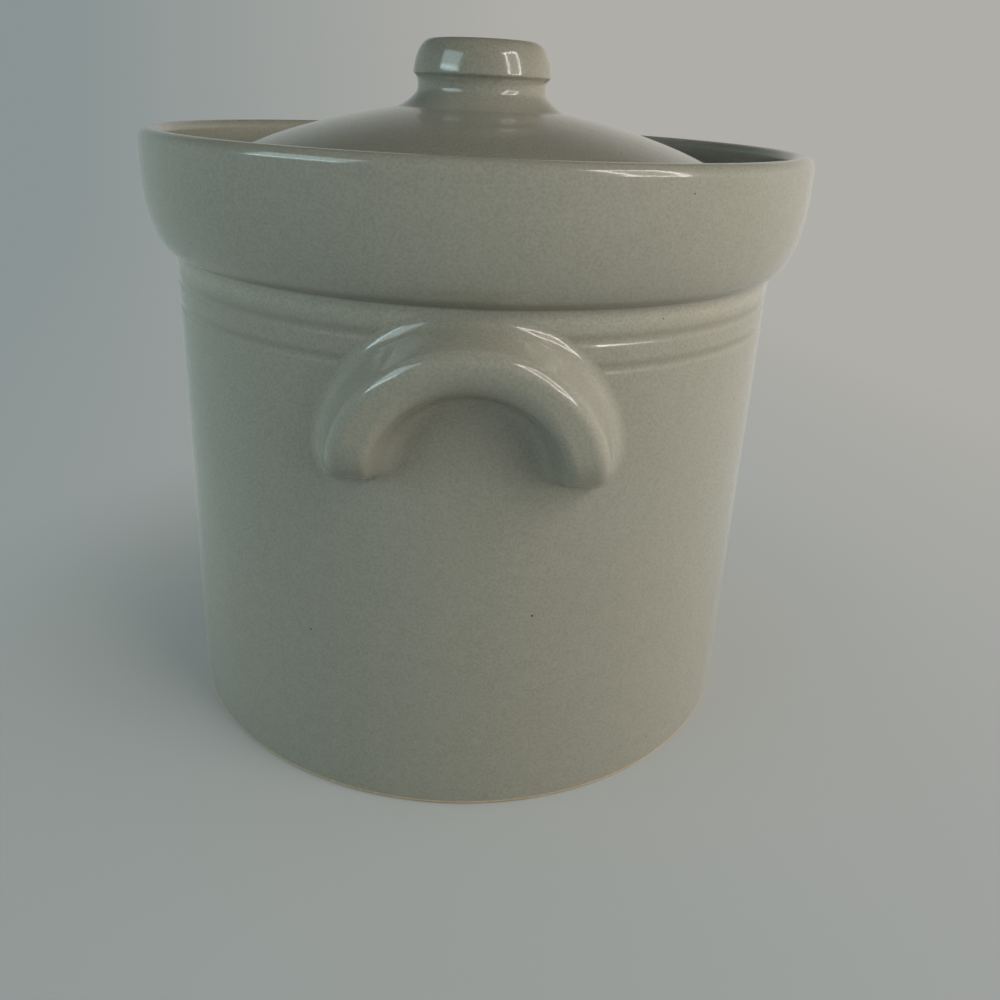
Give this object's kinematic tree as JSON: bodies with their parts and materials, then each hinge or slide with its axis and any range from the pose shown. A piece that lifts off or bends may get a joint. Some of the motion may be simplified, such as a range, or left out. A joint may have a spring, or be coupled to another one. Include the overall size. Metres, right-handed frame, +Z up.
{
  "type": "lidded crock",
  "caption": "Straight-sided glazed stoneware storage crock with a deep rounded collar, arched lug handles and a lift-off domed lid with a flat-topped knob that sits inside the collar.",
  "frame": {"origin": "centre of the foot ring, on the surface that the crock stands on", "axes": "+Z up along the pot's turning axis; -Y towards the front handle, +Y towards the rear handle, +X to the right seen from the front"},
  "size_m": [0.225, 0.238, 0.2288],
  "materials": {
    "glazed_stoneware": "satin"
  },
  "bodies": {
    "crock": {"crock_body": "glazed_stoneware", "front_handle": "glazed_stoneware", "rear_handle": "glazed_stoneware"},
    "lid": {"lid": "glazed_stoneware", "lid_knob": "glazed_stoneware"}
  },
  "joints": [
    {"name": "lid_lift", "type": "slide", "parent": "crock", "child": "lid", "axis": [0, 0, 1], "range_m": [0, 0.08]}
  ]
}
